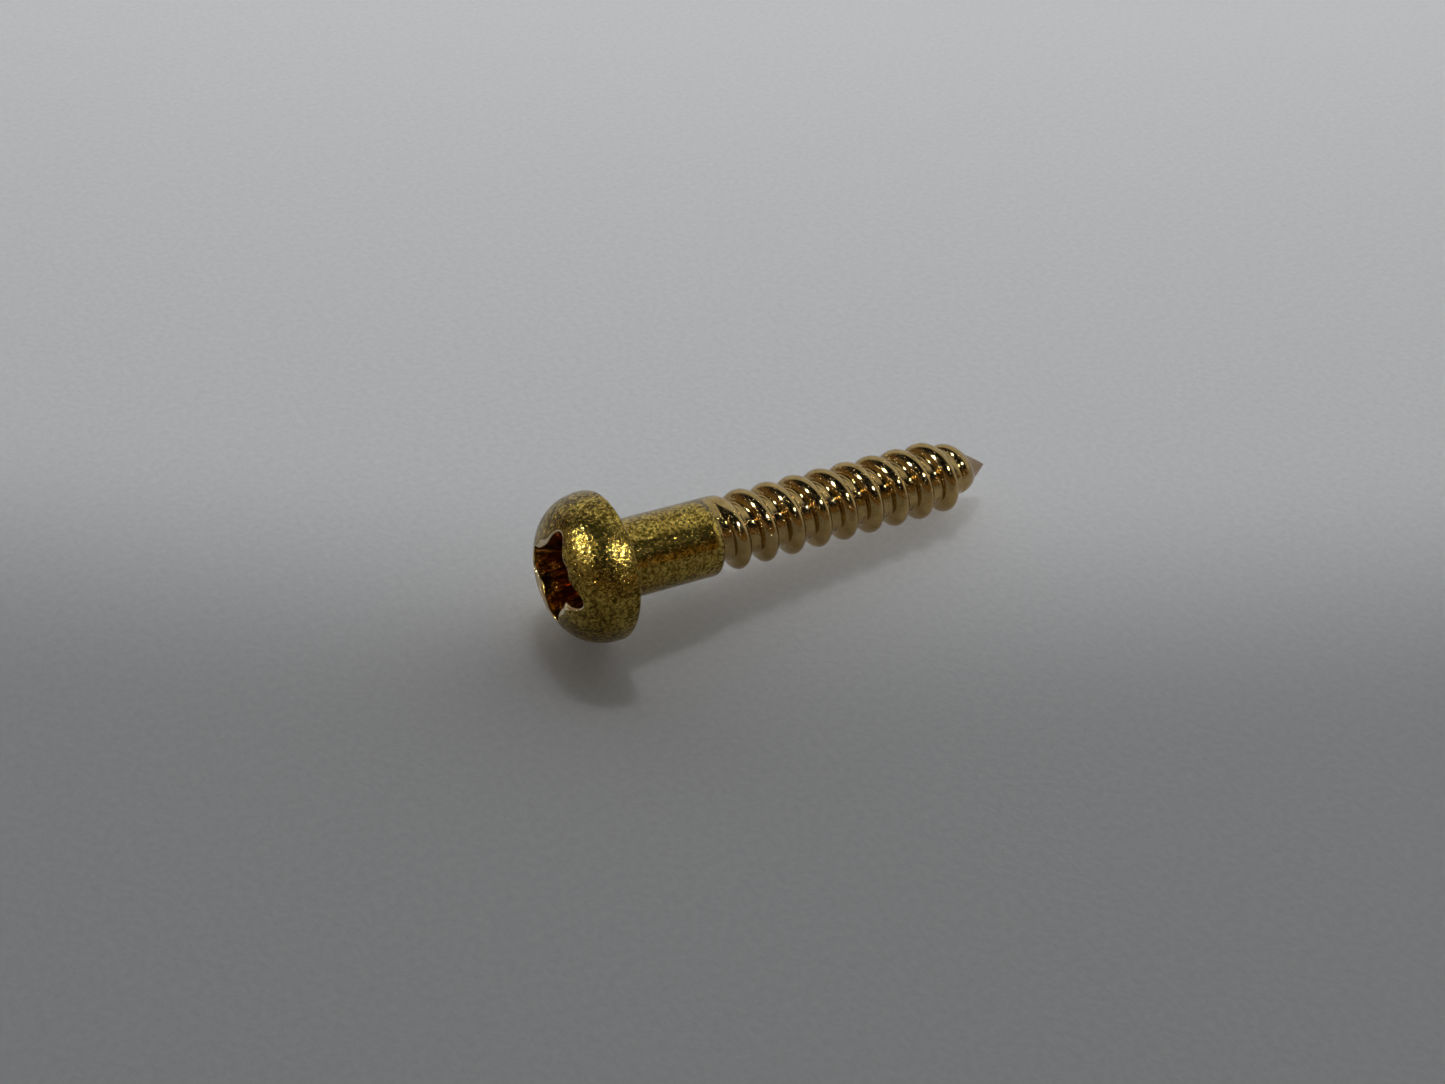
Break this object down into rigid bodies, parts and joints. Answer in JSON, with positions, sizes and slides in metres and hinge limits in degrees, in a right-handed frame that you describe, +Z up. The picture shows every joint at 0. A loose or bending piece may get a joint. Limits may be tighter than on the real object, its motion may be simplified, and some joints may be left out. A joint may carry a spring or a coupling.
{
  "type": "wood screw",
  "caption": "Brass round-head wood screw with a cross recess, a plain shank, a coarse right-hand thread and a gimlet point, lying on its side.",
  "frame": {"origin": "on the ground plane under the middle of the bounding box, with the screw lying on the rim of its head and on one thread crest", "axes": "+Z up, +X along the ground from the head to the point. The screw's own axis dips 5.1 degrees below +X, because the head is larger than the thread"},
  "size_m": [0.023, 0.0066, 0.0065],
  "materials": {
    "screw_brass": "tumbled satin on the head and plain shank, bright and cut on the thread, dark in the recess"
  },
  "bodies": {
    "root": {"wood_screw": "screw_brass"}
  },
  "joints": []
}
